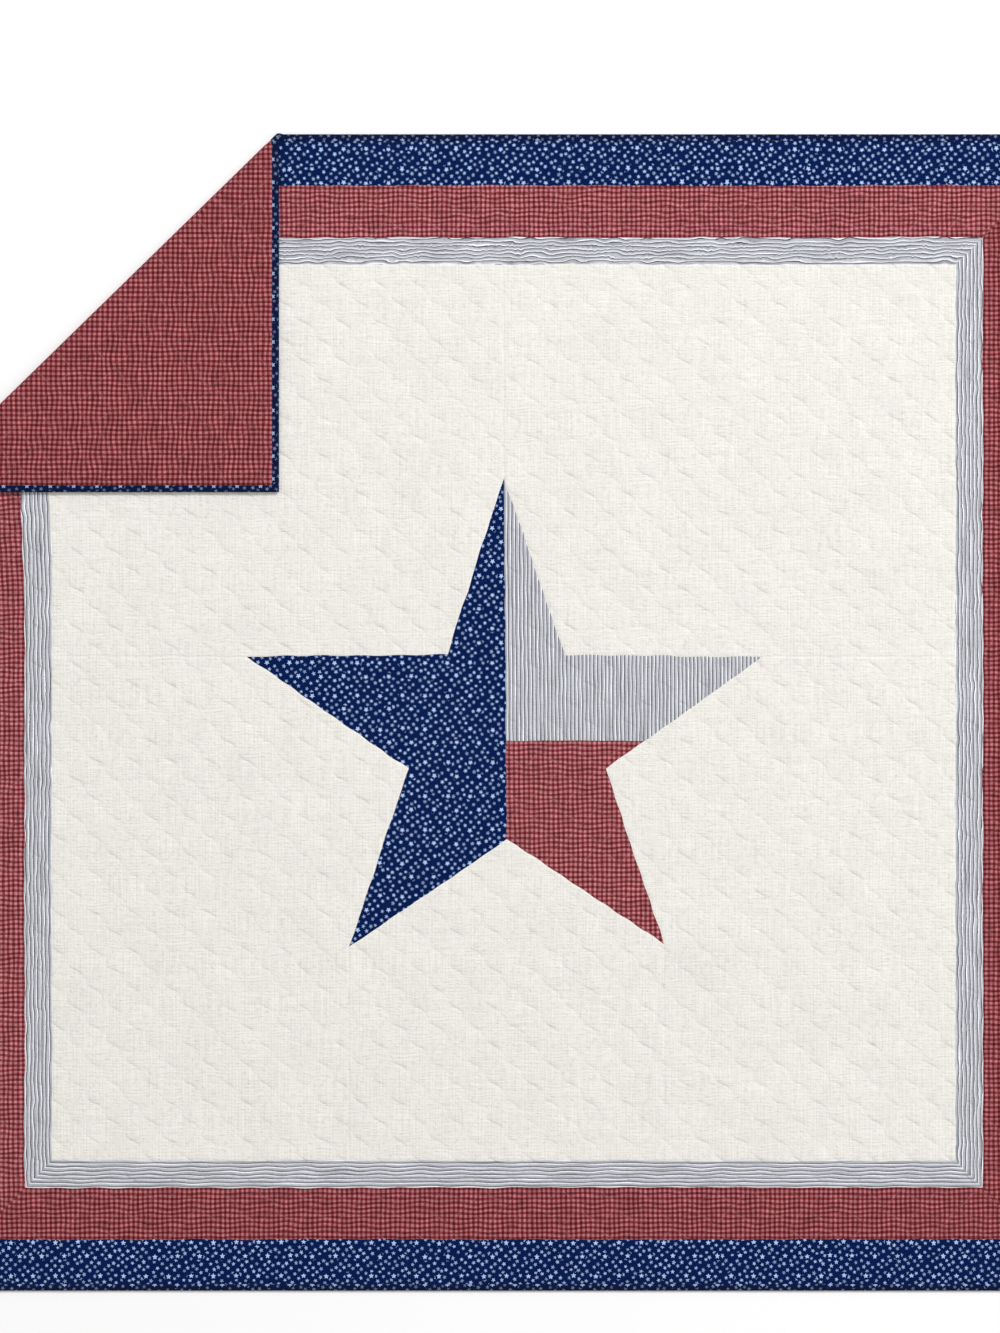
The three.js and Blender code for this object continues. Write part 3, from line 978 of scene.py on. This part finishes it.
# %% The five cream patches
UPPER_LEFT, UPPER_RIGHT = (-FIELD_X, FIELD_Y), (FIELD_X, FIELD_Y)
LOWER_LEFT, LOWER_RIGHT = (-FIELD_X, -FIELD_Y), (FIELD_X, -FIELD_Y)
GROUND = {
    "ground_upper_left": [TOP_SEAM, UPPER_LEFT, LEFT_SEAM, TIP_LEFT, NOTCH_UP_LEFT, TIP_TOP],
    "ground_upper_right": [TOP_SEAM, TIP_TOP, NOTCH_UP_RIGHT, TIP_RIGHT, RIGHT_SEAM, UPPER_RIGHT],
    "ground_lower_left": [LEFT_SEAM, LOWER_LEFT, LOW_LEFT_SEAM, TIP_LOW_LEFT, NOTCH_LEFT, TIP_LEFT],
    "ground_lower_right": [RIGHT_SEAM, TIP_RIGHT, NOTCH_RIGHT, TIP_LOW_RIGHT, LOW_RIGHT_SEAM, LOWER_RIGHT],
    "ground_bottom": [TIP_LOW_LEFT, LOW_LEFT_SEAM, LOW_RIGHT_SEAM, TIP_LOW_RIGHT, NOTCH_LOW],
}
for i, (name, outline) in enumerate(GROUND.items()):
    patch(name, outline, CREAM, seed=230 + 10 * i)

# %% [markdown]
# Three borders frame the field: ticking, gingham and navy. Each is four strips whose ends are cut at a
# slant and sewn together, so that the stripes turn the corner. The strips of one border differ only in
# the side that they lie on, so one loop makes all twelve, and each strip's map is turned to its side. The
# gingham strips at the bottom and on the right take the backing's darker colours. The stripes of the
# ticking waver most at the top.

# %% The borders
BORDERS = [
    ("inner_border", TICKING, (FIELD_X, FIELD_Y), (0.947, 0.9388)),
    ("middle_border", GINGHAM, (0.947, 0.9388), (1.0455, 1.0414)),
    ("outer_border", NAVY, (1.0455, 1.0414), (HALF - 0.005, HALF - 0.005)),
]
TURNS = {"top": 0, "left": 90, "bottom": 180, "right": 270}
TICKING_CRIMPS = {"top": 0.0034, "left": 0.0018, "bottom": 0.0006, "right": 0.002}
OTHER_CRIMPS = {"top": 0.002, "left": 0.001, "bottom": 0.0009, "right": 0.0008}


def strip_outline(side, inner, outer):
    (ix, iy), (ox, oy) = inner, outer
    return {
        "top": [(ix, iy), (ox, oy), (-ox, oy), (-ix, iy)],
        "left": [(-ix, iy), (-ox, oy), (-ox, -oy), (-ix, -iy)],
        "bottom": [(-ix, -iy), (-ox, -oy), (ox, -oy), (ix, -iy)],
        "right": [(ix, -iy), (ox, -oy), (ox, oy), (ix, iy)],
    }[side]


def strip_start(side, inner):
    ix, iy = inner
    return {"top": (0, iy), "left": (-ix, 0), "bottom": (0, -iy), "right": (ix, 0)}[side]


for row, (border, cloth, inner, outer) in enumerate(BORDERS):
    crimps = TICKING_CRIMPS if cloth == TICKING else OTHER_CRIMPS
    for side, degrees in TURNS.items():
        patch(
            f"{border}_{side}",
            strip_outline(side, inner, outer),
            BACKING_GINGHAM if cloth == GINGHAM and side in ("bottom", "right") else cloth,
            turn=math.radians(degrees),
            start=strip_start(side, inner),
            seed=300 + 40 * row + degrees // 9,
            crimp=crimps[side],
        )

# %% [markdown]
# The backing is one large piece of gingham. Most of it lies flat under the quilt, so it stays coarse
# there. Where the corner is folded over it lies on top and shows the quilting from behind, so only those
# squares are subdivided. Its puffs point away from the face.

# %% The backing
BACKING_HALF = HALF - 0.004
BACKING_ROWS = (0.011, 0.02)
BACKING_CRIMP = 0.0007
LONGER_ROUND_FOLD = FOLD_RADIUS / FOLD_CORE - 1
CREASE_ROW = 23
CREASE_HEIGHT = 0.0009
CREASE_SPREAD = 0.007


def back_height(u, v):
    a, b = lines_at(u, v)
    free = smooth((b - FOLD_ROW - 0.1) / 1.2) * inside_edge(u, v)
    puff = BACK_PUFF * swelling(u, v) * (0.85 + 0.15 * uneven(u, v, PITCH, 42))
    crease = CREASE_HEIGHT * np.exp(-(((b - CREASE_ROW) * PITCH / CREASE_SPREAD) ** 2))
    return -free * (puff + crinkle(u, v, 43) - crease) + 0.0013 * (1 - inside_edge(u, v))


square = [(x * BACKING_HALF, y * BACKING_HALF) for x, y in ((-1, -1), (1, -1), (1, 1), (-1, 1))]
backing = grid_over("backing", square)
x, y, _ = face_centres(backing).T
select_faces(backing, lines_at(x, y)[1] > FOLD_ROW - 1)
bpy.ops.mesh.subdivide(number_cuts=CUTS + 2)
bpy.ops.object.mode_set(mode="OBJECT")
crowd_rows(backing)
cut_fold_rows(backing)
trim(backing, square, rows=BACKING_ROWS)
map_cloth(backing, square, 0.0, (0.0, 0.0), 500, BACKING_CRIMP, LONGER_ROUND_FOLD)
points = points_of(backing)
u, v = points[:, 0], points[:, 1]
du, dv = pull_of_stitches(u, v)
move_points(backing, np.column_stack([u + du, v + dv, back_height(u, v)]))
thicken(backing, -CLOTH)
settle(backing)
backing.data.materials.append(BACKING_GINGHAM)
sew_in(backing, "quilt_body")
print("backing", len(backing.data.polygons), "faces")

# %% [markdown]
# The binding is a narrow strip of the navy print, sewn round the edge and folded to the back. Each side is
# a long grid whose rows are laid round a flattened bend. Its ends are drawn in at a slant, and the four
# sides are merged at the corners.

# %% The binding
BINDING_STEP = 0.0065
BINDING_THICKNESS = 0.0007
BINDING_SECTION = [
    (0.0132, 0.0036),
    (0.0124, 0.0046),
    (0.0105, 0.0050),
    (0.0070, 0.0051),
    (0.0040, 0.0050),
    (0.0018, 0.0046),
    (0.0006, 0.0038),
    (0.0000, 0.0025),
    (0.0006, 0.0011),
    (0.0018, 0.0004),
    (0.0045, 0.0001),
    (0.0085, 0.0001),
    (0.0130, 0.0001),
]


def binding_side(side):
    degrees = TURNS[side]
    count = round(SIDE / BINDING_STEP)
    rows = len(BINDING_SECTION) - 1
    bpy.ops.object.select_all(action="DESELECT")
    bpy.ops.mesh.primitive_grid_add(x_subdivisions=count, y_subdivisions=rows, size=1)
    piece = bpy.context.object
    grid = points_of(piece)
    row = np.round((grid[:, 1] + 0.5) * rows).astype(int)
    inset, height = np.array(BINDING_SECTION)[row].T
    along = -grid[:, 0] * 2 * (HALF - inset)
    travelled = np.concatenate([[0], np.cumsum(np.hypot(*np.diff(np.array(BINDING_SECTION), axis=0).T))])
    write_map(piece, "cloth", along, HALF + BINDING_WIDTH - travelled[row])
    c, s = math.cos(math.radians(degrees)), math.sin(math.radians(degrees))
    out = HALF - inset
    u, v = along * c - out * s, along * s + out * c
    write_map(piece, "quilting", 0 * u + 0.5, 0 * v + 0.5)
    own_row = 0 * along + degrees
    gather = 0.00025 * uneven(along, own_row, 0.011, 61) + 0.0002 * uneven(along, own_row, 0.05, 62)
    top = np.clip((height - 0.0025) / 0.0025, 0, 1)
    move_points(piece, np.column_stack([u, v, height + gather * top]))
    return piece


sides = [binding_side(side) for side in TURNS]
only(sides[0])
for piece in sides[1:]:
    piece.select_set(True)
bpy.ops.object.join()
binding = bpy.context.object
binding.name = binding.data.name = "quilt_binding"
bpy.ops.object.mode_set(mode="EDIT")
bpy.ops.mesh.select_all(action="SELECT")
bpy.ops.mesh.remove_doubles(threshold=0.00005)
bpy.ops.mesh.normals_make_consistent(inside=False)
bpy.ops.object.mode_set(mode="OBJECT")
cut_fold_rows(binding)
thicken(binding, BINDING_THICKNESS)
settle(binding)
binding.data.materials.append(BINDING_CLOTH)
sew_in(binding, "binding")

# %% [markdown]
# The quilt lies on a plain white floor. It is lit by a large soft light from the upper right and high
# enough to show the quilting without hard shadows, with an even white surround to fill them.

# %% Floor and light
bpy.ops.object.select_all(action="DESELECT")
bpy.ops.mesh.primitive_plane_add(size=60, location=(0, 0, -0.0006))
floor = bpy.context.object
floor.name = "floor"
paint = bpy.data.materials.new("white floor")
paint.use_nodes = True
paint.node_tree.nodes["Principled BSDF"].inputs["Base Color"].default_value = (0.95, 0.948, 0.95, 1)
paint.node_tree.nodes["Principled BSDF"].inputs["Roughness"].default_value = 0.9
paint.node_tree.nodes["Principled BSDF"].inputs["Specular IOR Level"].default_value = 0.2
floor.data.materials.append(paint)

KEY_DISTANCE = 15
KEY_AZIMUTH = math.radians(52)
KEY_HEIGHT = math.radians(40)
key_data = bpy.data.lights.new("key", "AREA")
key_data.size = 3.5
key_data.energy = 1600
key_data.color = (0.97, 0.985, 1.0)
key = bpy.data.objects.new("key", key_data)
bpy.context.scene.collection.objects.link(key)
key.location = (
    KEY_DISTANCE * math.cos(KEY_HEIGHT) * math.cos(KEY_AZIMUTH),
    KEY_DISTANCE * math.cos(KEY_HEIGHT) * math.sin(KEY_AZIMUTH),
    KEY_DISTANCE * math.sin(KEY_HEIGHT),
)
key.rotation_euler = (-key.location).to_track_quat("-Z", "Y").to_euler()
world = bpy.data.worlds.new("surround")
world.use_nodes = True
world.node_tree.nodes["Background"].inputs["Color"].default_value = (1, 0.995, 0.985, 1)
world.node_tree.nodes["Background"].inputs["Strength"].default_value = 0.65
bpy.context.scene.world = world
bpy.context.scene.view_settings.view_transform = "Standard"
print("light and floor ready")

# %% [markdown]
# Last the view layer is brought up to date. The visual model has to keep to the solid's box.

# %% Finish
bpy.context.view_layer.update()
